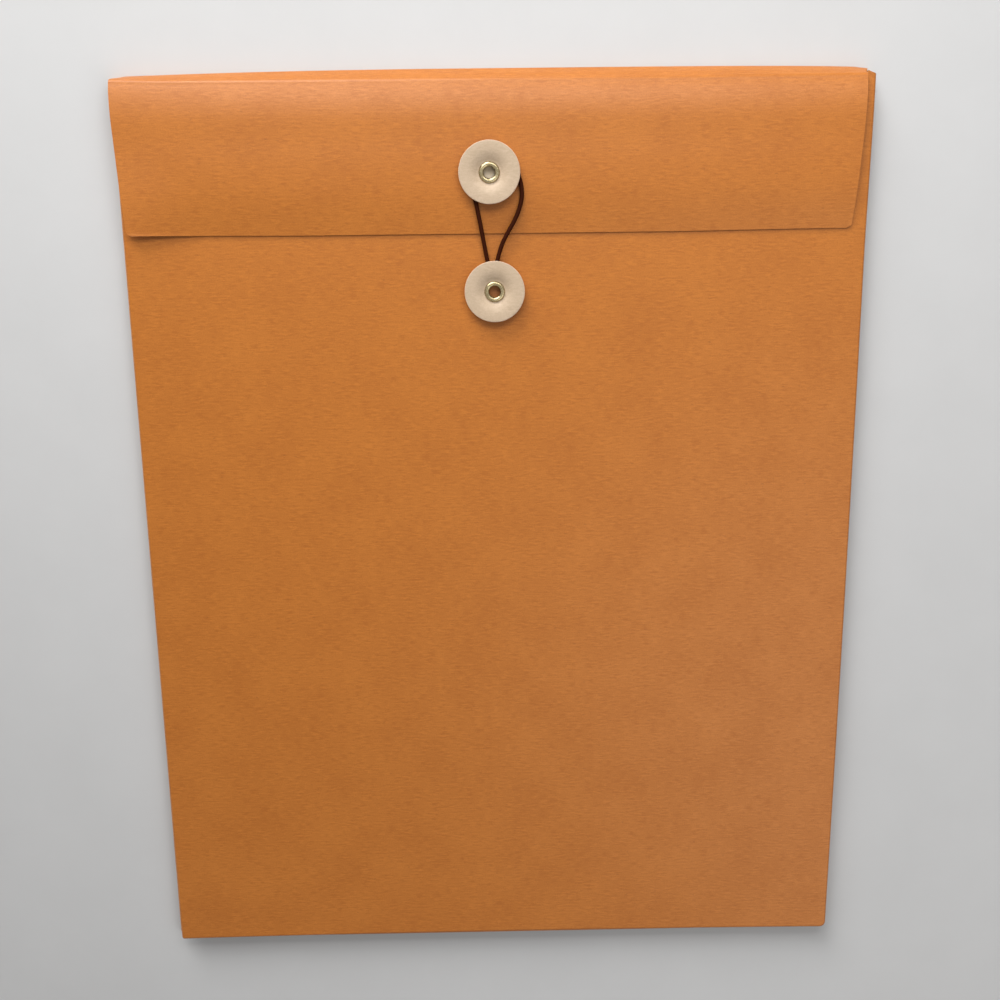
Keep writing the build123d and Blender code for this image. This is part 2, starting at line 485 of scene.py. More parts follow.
KRAFT = PaperFinish(
    "laid_kraft", (0.422, 0.127, 0.013), (0.536, 0.177, 0.023), (0.26, 0.08, 0.012), Coordinates.SHEET, 1.0
)
# Cut edges of the paper: a paler tone of their own fibres, lightened further with a painted highlight as if
# every edge catches the light.
KRAFT_EDGE_AND_HIGHLIGHT = PaperFinish(
    "kraft_cut_edge_and_highlight", (0.56, 0.27, 0.10), (0.70, 0.38, 0.17), (0.45, 0.20, 0.07), roughness=(0.9, 0.8)
)
GUSSET = PaperFinish("gusset_kraft", (0.410, 0.134, 0.028), (0.490, 0.172, 0.040), (0.24, 0.075, 0.02))
KRAFT_PATCH = PaperFinish("kraft_patch", (0.40, 0.14, 0.035), (0.50, 0.19, 0.05), (0.25, 0.08, 0.02))
CREAM_PATCH = PaperFinish("cream_patch", (0.72, 0.60, 0.44), (0.84, 0.72, 0.56), (0.45, 0.38, 0.28))
FIBRE_BOARD = BoardFinish("fibre_board", (0.500, 0.368, 0.245), (0.566, 0.424, 0.291))
# Rim of the discs: paler cut fibre board, lightened further with a painted highlight as if the edge catches
# the light.
FIBRE_EDGE_AND_HIGHLIGHT = BoardFinish("fibre_board_edge_and_highlight", (0.70, 0.47, 0.33), (0.82, 0.58, 0.43), roughness=(0.76, 0.64))
BRASS = BrassFinish("pale_brass", (0.30, 0.235, 0.12), (0.50, 0.41, 0.25))
SHEATH = SheathFinish("elastic_sheath", (0.020, 0.0035, 0.0008), (0.060, 0.012, 0.003))
BACKDROP = 0.72
TABLE = FloorFinish("pale_table", (0.60, 0.595, 0.59), (0.65, 0.645, 0.64), BACKDROP)


class Finishes:
    """Every material of the scene, built once and looked up by its finish."""

    def __init__(self) -> None:
        """Build the shared group."""
        self._fibre = PaperFibre().group()
        self._built: dict[str, Material] = {}

    def of(self, *finishes: Finish) -> list[Material]:
        """Materials of some finishes.

        Args:
            *finishes: The finishes.

        Returns:
            Their materials, in the same order.
        """
        for finish in finishes:
            if finish.name not in self._built:
                self._built[finish.name] = finish.material(self._fibre)
        return [self._built[finish.name] for finish in finishes]


def make_piece(shape: BMesh, name: str, materials: list[Material]) -> Object:
    """Turn a shape in millimetres into an object in metres at the origin.

    Args:
        shape: The shape, which is used up.
        name: Name of the piece.
        materials: Its material slots.

    Returns:
        The object.
    """
    bmesh.ops.scale(shape, vec=(MM, MM, MM), verts=shape.verts)
    for face in shape.faces:
        face.smooth = True
    mesh = bpy.data.meshes.new(name)
    shape.to_mesh(mesh)
    shape.free()
    for material in materials:
        mesh.materials.append(material)
    piece = bpy.data.objects.new(name, mesh)
    bpy.context.scene.collection.objects.link(piece)
    return piece


def round_edges(shape: BMesh, edges: list[BMEdge], radius: float, segments: int) -> None:
    """Round some edges of a shape.

    Args:
        shape: The shape.
        edges: Its edges.
        radius: Width of the rounding.
        segments: Steps across it.
    """
    bmesh.ops.bevel(
        shape,
        geom=edges,
        offset=radius,
        offset_type="OFFSET",
        segments=segments,
        profile=0.5,
        affect="EDGES",
        material=-1,
        clamp_overlap=True,
    )


class SheetShape:
    """Open sheet of paper in millimetres that is given its UV map, a hole and its thickness."""

    def __init__(self) -> None:
        """Start an empty sheet with a layer for the way along it."""
        self.mesh = bmesh.new()
        self.way = self.mesh.verts.layers.float.new("way")

    def divide(self, foot: Vector) -> None:
        """Add a line of points where a plane cuts the sheet, given its foot from the origin."""
        parts = list(self.mesh.verts) + list(self.mesh.edges) + list(self.mesh.faces)
        bmesh.ops.bisect_plane(self.mesh, geom=parts, dist=NEAR, plane_co=foot, plane_no=foot.normalized())

    def punch(self, centre: Vector, radius: float, clear: float, height: Callable[[float], float]) -> None:
        """Cut a round hole.

        Args:
            centre: Middle of the hole.
            radius: Its radius.
            clear: Radius within which the grid is made finer first.
            height: Height of the sheet at a y.
        """

        def away(place: Vector) -> float:
            """Distance of a place from the hole's axis."""
            return (place.xy - centre.xy).length

        near = [face for face in self.mesh.faces if away(face.calc_center_median()) < clear]
        edges = list({edge for face in near for edge in face.edges})
        bmesh.ops.subdivide_edges(self.mesh, edges=edges, cuts=HOLE_CUTS, use_grid_fill=True)
        cut = [face for face in self.mesh.faces if away(face.calc_center_median()) < radius]
        bmesh.ops.delete(self.mesh, geom=cut, context="FACES")
        for vert in self.mesh.verts:
            if vert.is_boundary and away(vert.co) < clear:
                vert.co.xy = centre.xy + (vert.co - centre).xy.normalized() * radius
                vert.co.z = height(vert.co.y)

    def move(self, shift: Callable[[Vector], Vector]) -> None:
        """Shift every point of the sheet by what its place asks for."""
        for vert in self.mesh.verts:
            vert.co += shift(vert.co.copy())

    def thicken(self, thickness: float, outward: Vector) -> None:
        """Lay the UV map flat on the sheet and give it its thickness.

        Args:
            thickness: Thickness of the paper.
            outward: Direction that most of the sheet's outer face looks in.
        """
        layer = self.mesh.loops.layers.uv.new("paper")
        for face in self.mesh.faces:
            for loop in face.loops:
                loop[layer].uv = (loop.vert.co.x / SHEET_UNIT, loop.vert[self.way] / SHEET_UNIT)
        faces = list(self.mesh.faces)
        if sum((face.normal * face.calc_area()).dot(outward) for face in faces) < 0:
            bmesh.ops.reverse_faces(self.mesh, faces=faces)
        self.mesh.normal_update()
        outer = set(self.mesh.verts)
        bmesh.ops.solidify(self.mesh, geom=faces, thickness=thickness)
        # Faces of the rim take the second slot: the paler cut edge with its painted highlight.
        for face in self.mesh.faces:
            own = sum(vert in outer for vert in face.verts)
            if 0 < own < len(face.verts):
                face.material_index = 1
        for edge in self.mesh.edges:
            edge.smooth = len({face.material_index for face in edge.link_faces}) == 1


class FoldPath:
    """Grows a sheet row by row along straight runs and turns about X."""

    def __init__(self, sheet: SheetShape, row: list[BMEdge], heading: float) -> None:
        """Start from a row of the sheet.

        Args:
            sheet: The sheet.
            row: Edges of its last row.
            heading: Direction of growth in the YZ plane, in radians from +Y towards +Z.
        """
        self.sheet = sheet
        self.edges = row
        self.heading = heading

    @property
    def place(self) -> Vector:
        """A point of the last row."""
        return self.edges[0].verts[0].co.copy()

    def grow(self, length: float, angle: float, steps: int) -> None:
        """Go straight on or round a bend.

        Args:
            length: Way along the sheet.
            angle: Change of heading in radians, less than 0 for a turn down.
            steps: Number of rows.
        """
        layer = self.sheet.way
        step = Vector((0, cos(self.heading), sin(self.heading))) * (0.0 if angle else length / steps)
        centre = self.place
        if angle:
            centre += Vector((0, -sin(self.heading), cos(self.heading))) * (length / angle)
        turn = {"cent": centre, "axis": (1, 0, 0), "dvec": step, "angle": angle / steps, "steps": 1}
        for _ in range(steps):
            way = self.edges[0].verts[0][layer] + length / steps
            row = list({vert for edge in self.edges for vert in edge.verts}) + self.edges
            made = bmesh.ops.spin(self.sheet.mesh, geom=row, **turn)["geom_last"]
            self.edges = [item for item in made if isinstance(item, BMEdge)]
            for edge in self.edges:
                for vert in edge.verts:
                    vert[layer] = way
        self.heading += angle


@dataclass
class PocketPanel:
    """Panel of the pocket with its three folds turned towards the gussets."""

    paper: float = 0.40
    proud: float = 0.30
    fold_radius: float = 0.85
    fold_segments: int = 5
    cell: float = 2.5

    def tray(self, low: Vector, high: Vector, skirt: float) -> SheetShape:
        """Flat panel at z 0 with skirts on three sides and rounded folds.

        Args:
            low: Corner with the least x and y.
            high: Corner with the most x and y.
            skirt: Height of the skirts, less than 0 downwards.

        Returns:
            The sheet.
        """
        sheet = SheetShape()
        mesh = sheet.mesh
        size = high - low
        middle = (low + high) / 2
        columns, rows = (round(length / self.cell) for length in size.xy)
        bmesh.ops.create_grid(mesh, x_segments=columns, y_segments=rows, size=0.5)
        bmesh.ops.scale(mesh, vec=(size.x, size.y, 1), verts=mesh.verts)
        bmesh.ops.translate(mesh, vec=(middle.x, middle.y, 0), verts=mesh.verts)
        for vert in mesh.verts:
            vert[sheet.way] = vert.co.y
        top = max(vert.co.y for vert in mesh.verts)
        folds = [
            edge
            for edge in mesh.edges
            if edge.is_boundary and not all(abs(vert.co.y - top) < NEAR for vert in edge.verts)
        ]
        made = bmesh.ops.extrude_edge_only(mesh, edges=folds)["geom"]
        lower = [item for item in made if isinstance(item, BMVert)]
        bmesh.ops.translate(mesh, vec=(0, 0, skirt), verts=lower)
        bottom = min(vert.co.y for vert in mesh.verts)
        corners = [
            edge
            for edge in mesh.edges
            if not edge.is_boundary
            and abs(edge.verts[0].co.z - edge.verts[1].co.z) > abs(skirt) / 2
            and abs(edge.verts[0].co.y - bottom) < NEAR
            and min(abs(edge.verts[0].co.x - low.x), abs(edge.verts[0].co.x - high.x)) < NEAR
        ]
        round_edges(mesh, folds + corners, self.fold_radius, self.fold_segments)
        return sheet


@dataclass
class FrontPanel(PocketPanel):
    """Front panel of the pocket, faintly pillowed, with the hole for its button's eyelet."""

    skirt: float = 1.25
    pillow: float = 0.45
    pillow_top: Span = (75.0, -20.0)
    pillow_foot: float = 110.0
    bottom_bow: float = 0.75
    side_bow: float = 0.40
    bow_reach: float = 60.0
    flare: float = 0.70
    flare_span: Span = (0.6, 1.0)
    hole_radius: float = 2.40
    hole_clear: float = 4.5
    mouth_rise: float = 0.6
    mouth_reach: float = 8.0
    corner_rise: float = 1.7
    corner_span: Span = (119.87, 119.97)
    corner_fall: float = 0.40
    foot_round: float = 2.2
    foot_cuts: int = 4

    @cached_property
    def box(self) -> tuple[Vector, Vector]:
        """Lowest and highest corner of the solid."""
        return box_mm("front_panel")

    def build(self, finishes: Finishes) -> Object:
        """Build the panel.

        Args:
            finishes: Materials of the scene.

        Returns:
            The piece.
        """
        low, high = self.box
        margin = Vector((self.proud, self.proud, 0))
        sheet = self.tray(low - margin, Vector((high.x + self.proud, high.y, 0)), -self.skirt)
        for x in self.corner_span:
            sheet.divide(Vector((x, 0, 0)))
        for cut in range(1, self.foot_cuts + 1):
            inward = self.foot_round * cut / self.foot_cuts - self.proud
            sheet.divide(Vector((high.x - inward, 0, 0)))
            sheet.divide(Vector((0, low.y + inward, 0)))
        sheet.move(self.shift)
        sheet.punch(fold_place("front_button_spin"), self.hole_radius, self.hole_clear, lambda y: 0.0)
        sheet.thicken(self.paper, Vector((0, 0, 1)))
        bmesh.ops.translate(sheet.mesh, vec=(0, 0, high.z), verts=sheet.mesh.verts)
        piece = make_piece(sheet.mesh, "front_sheet", finishes.of(KRAFT, KRAFT_EDGE_AND_HIGHLIGHT))
        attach(piece, Body.FRONT.value)
        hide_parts("front_panel")
        return piece

    def shift(self, place: Vector) -> Vector:
        """Pillow the panel, bow its edges and raise its mouth beside the flap.

        Args:
            place: Point of the flat panel.

        Returns:
            Shift of the point.
        """
        low, high = self.box
        across = (place.x - (low.x + high.x) / 2) / ((high.x - low.x) / 2)
        middle = max(0.0, 1.0 - across * across)
        length = smooth_step(*self.pillow_top, place.y)
        length *= smooth_step(low.y, low.y + self.pillow_foot, place.y)
        bow = self.bottom_bow * middle * smooth_step(low.y + self.bow_reach, low.y, place.y)
        height = max(0.0, 1.0 - (place.y / high.y) ** 2)
        side = self.side_bow * height * smooth_step(0.0, high.x, place.x)
        top = smooth_step(high.y - self.bow_reach, high.y, place.y)
        side += self.flare * top * smooth_step(*self.flare_span, across)
        mouth = smooth_step(high.y - self.mouth_reach, high.y, place.y)
        beside = smooth_step(*self.corner_span, place.x)
        slant = self.corner_fall * max(0.0, place.x - self.corner_span[1])
        mouth *= self.mouth_rise + self.corner_rise * beside - slant
        foot = self.foot_shift(place)
        return Vector((side + foot.x, bow + mouth + foot.y, self.pillow * middle * length))

    def foot_shift(self, place: Vector) -> Vector:
        """Round the lower right corner of the panel.

        Args:
            place: Point of the flat panel.

        Returns:
            Shift of the point in X and Y.
        """
        low, high = self.box
        inward = self.foot_round - self.proud
        out = Vector((max(0.0, place.x - high.x + inward), min(0.0, place.y - low.y - inward)))
        if out.x == 0.0 or out.y == 0.0:
            return Vector((0, 0))
        return out * (max(out.x, -out.y) / out.length - 1.0)


@dataclass(frozen=True)
class CreaseEnd:
    """How one half of the rear crease falls away towards its end, which is cut off in a short curve."""

    fall: float
    power: float
    cut: float
    reach: float


@dataclass(frozen=True)
class Creases:
    """Lines of the two creases of the spine, as the sheet of the photograph bends them."""

    half: float = 122.5
    rear_rise: float = 0.50
    left_end: CreaseEnd = CreaseEnd(fall=1.75, power=2.6, cut=0.45, reach=3.0)
    right_end: CreaseEnd = CreaseEnd(fall=1.0, power=4.4, cut=0.50, reach=6.0)
    front_dip: float = 0.25
    front_rise: float = 0.45
    front_left: float = 0.35
    front_span: Span = (-0.85, -1.0)
    left_proud: float = 0.77
    rear_proud: float = 1.0
    rear_right: float = 1.6
    rear_span: Span = (0.8, 0.0)
    left_span: Span = (-0.2, -1.0)
    right_span: Span = (0.5, 1.0)

    def rear(self, x: float) -> float:
        """Shift of the rear crease along Y.

        Args:
            x: Where it is along the crease.

        Returns:
            The shift.
        """
        end = self.left_end if x < 0 else self.right_end
        cut = end.cut * smooth_step(self.half - end.reach, self.half, abs(x))
        return self.rear_rise - end.fall * abs(x / self.half) ** end.power - cut

    def front(self, x: float) -> float:
        """Shift of the front crease along Y at an x."""
        left = self.front_left * smooth_step(*self.front_span, x / self.half)
        return self.front_rise * (x / self.half) ** 2 - self.front_dip + left

    def along(self, x: float, rise: float) -> float:
        """Shift along Y at an x of the spine and a share of the way up to the front crease."""
        return self.rear(x) * (1.0 - rise) + self.front(x) * rise

    def across(self, x: float, rise: float) -> float:
        """Shift along X of a point of the spine, whose ends aren't square.

        Args:
            x: Where it is along the crease.
            rise: Share of the way from the rear crease to the front one.

        Returns:
            The shift.
        """
        left = self.rear_proud + (self.left_proud - self.rear_proud) * rise
        right = self.rear_right * smooth_step(*self.rear_span, rise)
        share = x / self.half
        return right * smooth_step(*self.right_span, share) - left * smooth_step(*self.left_span, share)


@dataclass(frozen=True)
class Arch:
    """Outer face of the flap, a part of a cylinder along X."""

    y: float
    z: float
    radius: float

    def height(self, y: float) -> float:
        """Height of the face at a y."""
        return self.z + sqrt(self.radius**2 - (y - self.y) ** 2)


@dataclass(frozen=True)
class SpineLine:
    """Outer line of the spine in the YZ plane, between the rear and the front crease."""

    rear_y: float
    front_y: float
    front_z: float
    slope: float
    paper: float

    @classmethod
    def between_folds(cls, paper: float) -> Self:
        """Line through the two folds, set out by half the paper.

        Args:
            paper: Thickness of the paper.

        Returns:
            The line.
        """
        rear = fold_place("spine_fold")
        front = fold_place("flap_fold")
        return cls(rear.y, front.y, front.z, atan2(front.z - rear.z, rear.y - front.y), paper)

    @property
    def outward(self) -> Vector:
        """Direction that the outer face looks in."""
        return Vector((0, sin(self.slope), cos(self.slope)))

    @property
    def middle(self) -> float:
        """Height at which the flap's sheet meets the back panel's."""
        return self.front_z / 2

    def share(self, z: float) -> float:
        """Share of the way from the rear crease up to the front one at a height."""
        return min(max(z / self.front_z, 0.0), 1.0)

    def at(self, z: float) -> Vector:
        """Point of the outer line.

        Args:
            z: Height of the point.

        Returns:
            The point, with x 0.
        """
        offset = self.outward * (self.paper / 2)
        rise = z - self.paper / 2 - offset.z
        return Vector((0, self.rear_y + offset.y - rise * cos(self.slope) / sin(self.slope), z))

    def tangent_y(self, radius: float) -> float:
        """Where the flat back panel ends and a rear bend of an outer radius starts."""
        return self.at(0.0).y - radius * tan((pi - self.slope) / 2)

    def bend_centre(self, arch: Arch, radius: float) -> Vector:
        """Axis of the front crease's bend, which touches the flap's arch and the spine.

        Args:
            arch: The flap's arch.
            radius: Outer radius of the bend.

        Returns:
            A point on the axis.
        """
        up = Vector((0, -cos(self.slope), sin(self.slope)))
        base = self.at(0.0) - self.outward * radius
        away = base - Vector((0, arch.y, arch.z))
        along = away.dot(up)
        reach = sqrt(along**2 - away.length_squared + (arch.radius - radius) ** 2)
        return base + up * (reach - along)

    def run(self, place: Vector) -> float:
        """Length of the straight spine from a place to its middle."""
        return abs(self.middle - place.z) / sin(self.slope)


@dataclass
class BackPanel(PocketPanel):
    """Back panel of the pocket with the rear crease and the lower half of the spine."""

    skirt: float = 0.95
    rear_radius: float = 0.60
    rear_rows: int = 12
    spine_rows: int = 8
    bow_reach: float = 40.0
    bow_height: float = 2.0
    narrow_span: Span = (3.0, 0.7)
    narrow_height: float = 0.6
    creases: Creases = Creases()

    def build(self, finishes: Finishes) -> Object:
        """Build the panel.

        Args:
            finishes: Materials of the scene.

        Returns:
            The piece.
        """
        low, high = box_mm("back_panel")
        spine = SpineLine.between_folds(self.paper)
        start_y = spine.tangent_y(self.rear_radius)
        corner = Vector((high.x + self.proud, start_y, 0))
        sheet = self.tray(low - Vector((self.proud, self.proud, 0)), corner, self.skirt)
        row = [
            edge
            for edge in sheet.mesh.edges
            if edge.is_boundary and all((vert.co.yz - corner.yz).length < 10 * NEAR for vert in edge.verts)
        ]
        path = FoldPath(sheet, row, 0.0)
        turn = pi - spine.slope
        path.grow(self.rear_radius * turn, turn, self.rear_rows)
        end = Vector((0, *path.place.yz))
        path.grow(spine.run(end), 0.0, self.spine_rows)
        half = corner.x - self.fold_radius
        ends = [corner.x for corner in box_mm("flap_spine")]
        sheet.move(lambda place: self.shift(place, spine, half, *ends))
        sheet.thicken(self.paper, Vector((0, 0, -1)))
        piece = make_piece(sheet.mesh, "back_sheet", finishes.of(KRAFT, KRAFT_EDGE_AND_HIGHLIGHT))
        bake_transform(piece)
        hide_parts("back_panel")
        return piece

    def shift(self, place: Vector, spine: SpineLine, half: float, left: float, right: float) -> Vector:
        """Bow the rear crease and draw the spine in to the flap's width.

        Args:
            place: Point of the straight sheet.
            spine: Line of the spine.
            half: Half width of the flat panel between its folds.
            left: Left end of the spine.
            right: Right end of the spine.

        Returns:
            Shift of the point.
        """
        rise = spine.share(place.z)
        bow = 1.0
        if place.z < self.bow_height:
            bow = smooth_step(spine.rear_y - self.bow_reach, spine.rear_y, place.y)
        narrow = 1.0
        if place.z < self.narrow_height:
            first, last = self.narrow_span
            narrow = smooth_step(spine.rear_y - first, spine.rear_y - last, place.y)
        target = left + (right - left) * (place.x + half) / (2.0 * half)
        target += self.creases.across(target, rise)
        return Vector(((target - place.x) * narrow, self.creases.along(target, rise) * bow, 0))


@dataclass
class FlapSheet:
    """Flap with its arch, the front crease and the upper half of the spine."""

    paper: float = 0.40
    arch_radius: float = 200.4
    arch_rows: int = 64
    columns: int = 98
    crease_radius: float = 2.0
    crease_rows: int = 14
    crease_zone: float = 1.2
    crease_reach: float = 12.0
    spine_rows: int = 8
    taper: float = 2.8
    taper_power: float = 1.4
    corner: float = 1.5
    left_proud: float = 1.1
    top_share: float = 0.7
    lift: float = 2.1
    lift_reach: float = 27.0
    lift_power: float = 1.6
    crease_drop: float = 0.40
    crease_drop_reach: float = 10.0
    edge_drop: float = 0.28
    edge_drop_reach: float = 15.0
    edge_bow: float = 0.40
    edge_bow_span: Span = (0.45, 0.95)
    roll: float = 0.42
    roll_reach: float = 7.0
    roll_fade: Span = (21.0, 9.0)
    hole_radius: float = 2.40
    hole_clear: float = 4.5
    creases: Creases = Creases()

    def build(self, finishes: Finishes) -> Object:
        """Build the flap.

        Args:
            finishes: Materials of the scene.

        Returns:
            The piece.
        """
        low, high = box_mm("flap_panel")
        spine = SpineLine.between_folds(self.paper)
        arch = Arch((low.y + spine.front_y) / 2, high.z - self.arch_radius, self.arch_radius)
        sheet = SheetShape()
        start = Vector((low.x, low.y, arch.height(low.y)))
        step = ((high.x - low.x) / self.columns, 0, 0)
        first = [sheet.mesh.verts.new(start)]
        bmesh.ops.spin(
            sheet.mesh, geom=first, dvec=step, axis=(1, 0, 0), cent=start, angle=0, steps=self.columns
        )
        lean = asin((arch.y - low.y) / arch.radius)
        path = FoldPath(sheet, list(sheet.mesh.edges), lean)
        bend = spine.bend_centre(arch, self.crease_radius)
        span = lean + atan2(bend.y - arch.y, bend.z - arch.z)
        path.grow(arch.radius * span, -span, self.arch_rows)
        bend_start = Vector((0, *path.place.yz))
        fold = spine.slope + path.heading
        path.grow(self.crease_radius * fold, -fold, self.crease_rows)
        bend_end = Vector((0, *path.place.yz))
        path.grow(spine.run(bend_end), 0.0, self.spine_rows)
        sheet.punch(fold_place("flap_button_spin"), self.hole_radius, self.hole_clear, arch.height)
        sheet.move(lambda place: self.shift(place, spine, low, high))
        sheet.thicken(self.paper, Vector((0, 0, 1)))
        piece = make_piece(sheet.mesh, "flap_sheet", finishes.of(KRAFT, KRAFT_EDGE_AND_HIGHLIGHT))
        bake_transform(piece)
        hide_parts("flap_panel", "flap_spine")
        return piece

    def shift(self, place: Vector, spine: SpineLine, low: Vector, high: Vector) -> Vector:
        """Taper the flap, round its corners, lift one of them and bow the creases.

        Args:
            place: Point of the straight sheet.
            spine: Line of the spine.
            low: Lowest corner of the flap.
            high: Highest corner of the flap.

        Returns:
            Shift of the point.
        """
        middle = (low.x + high.x) / 2
        below = spine.front_y - place.y
        if below < self.crease_zone:
            rise = spine.share(place.z)
            drop = self.crease_drop * smooth_step(spine.middle, spine.front_z, place.z)
            side = self.creases.across(place.x - middle, rise)
            return Vector((side, self.creases.along(place.x, rise), -drop))
        across = (place.x - middle) / ((high.x - low.x) / 2)
        up = max(place.y - low.y, 0.0)
        away = min(below / (spine.front_y - low.y), 1.0)
        inset = self.taper * away**self.taper_power
        if up < self.corner:
            inset += self.corner - sqrt(self.corner**2 - (self.corner - up) ** 2)
        proud = self.left_proud * smooth_step(*self.creases.left_span, across)
        proud *= self.top_share + (1.0 - self.top_share) * away
        near = smooth_step(self.crease_reach, self.crease_zone, below)
        bow = self.edge_bow * away * smooth_step(*self.edge_bow_span, abs(across))
        corner = (place - low).xy.length
        lift = self.lift * max(0.0, 1.0 - corner / self.lift_reach) ** self.lift_power
        roll = (below - self.crease_zone) / self.roll_reach
        lift += self.roll * roll * exp(1.0 - roll) * smooth_step(*self.roll_fade, below - self.crease_zone)
        lift -= self.crease_drop * max(0.0, 1.0 - below / self.crease_drop_reach) ** 2
        lift -= self.edge_drop * smooth_step(self.edge_drop_reach, 0.0, place.y - low.y)
        return Vector((-across * inset - proud, self.creases.front(place.x) * near + bow, lift))


class Lathe:
    """Half section that is drawn with runs and arcs and turned about an upright axis."""

    def __init__(self, radius: float, height: float) -> None:
        """Start the section at a radius and a height."""
        self.mesh = bmesh.new()
        self.first = self.last = self.mesh.verts.new((radius, 0, height))

    def to(self, *points: Span) -> None:
        """Draw straight runs.

        Args:
            *points: Radius and height of each point that they go through.
        """
        for radius, height in points:
            point = self.mesh.verts.new((radius, 0, height))
            self.mesh.edges.new((self.last, point))
            self.last = point

    def arc(self, centre: Span, angle: float, steps: int) -> None:
        """Draw an arc about a point.

        Args:
            centre: Radius and height of the point.
            angle: Angle of the arc, above 0 from the height towards the radius.
            steps: Number of edges.
        """
        middle = (centre[0], 0, centre[1])
        made = bmesh.ops.spin(
            self.mesh, geom=[self.last], cent=middle, axis=(0, 1, 0), angle=angle, steps=steps
        )
        self.last = next(item for item in made["geom_last"] if isinstance(item, BMVert))

    def turned(self, place: Vector, segments: int, closed: bool = True) -> BMesh:
        """Turn the section.

        Args:
            place: Where its axis and its zero height lie.
            segments: Number of steps round the axis.
            closed: Whether the section is closed first; it isn't where it starts and ends on the axis.

        Returns:
            The closed shape.
        """
        mesh = self.mesh
        if closed:
            mesh.edges.new((self.last, self.first))
        section = list(mesh.verts) + list(mesh.edges)
        bmesh.ops.spin(
            mesh, geom=section, cent=(0, 0, 0), axis=(0, 0, 1), angle=2 * pi, steps=segments, use_merge=True
        )
        bmesh.ops.remove_doubles(mesh, verts=mesh.verts, dist=NEAR)
        bmesh.ops.recalc_face_normals(mesh, faces=mesh.faces)
        bmesh.ops.translate(mesh, vec=place, verts=mesh.verts)
        return mesh


def soften(shape: BMesh, place: Vector, rounding: float, *rings: Span) -> None:
    """Round some of the rings of a turned shape.

    Args:
        shape: The shape.
        place: Its axis and zero height.
        rounding: Width of the rounding.
        *rings: Radius and height of each ring.
    """
    for radius, height in rings:
        ring = {
            vert
            for vert in shape.verts
            if abs((vert.co - place).xy.length - radius) < FIT and abs(vert.co.z - place.z - height) < FIT
        }
        edges = [edge for edge in shape.edges if ring.issuperset(edge.verts)]
        round_edges(shape, edges, rounding, ROUND_STEPS)


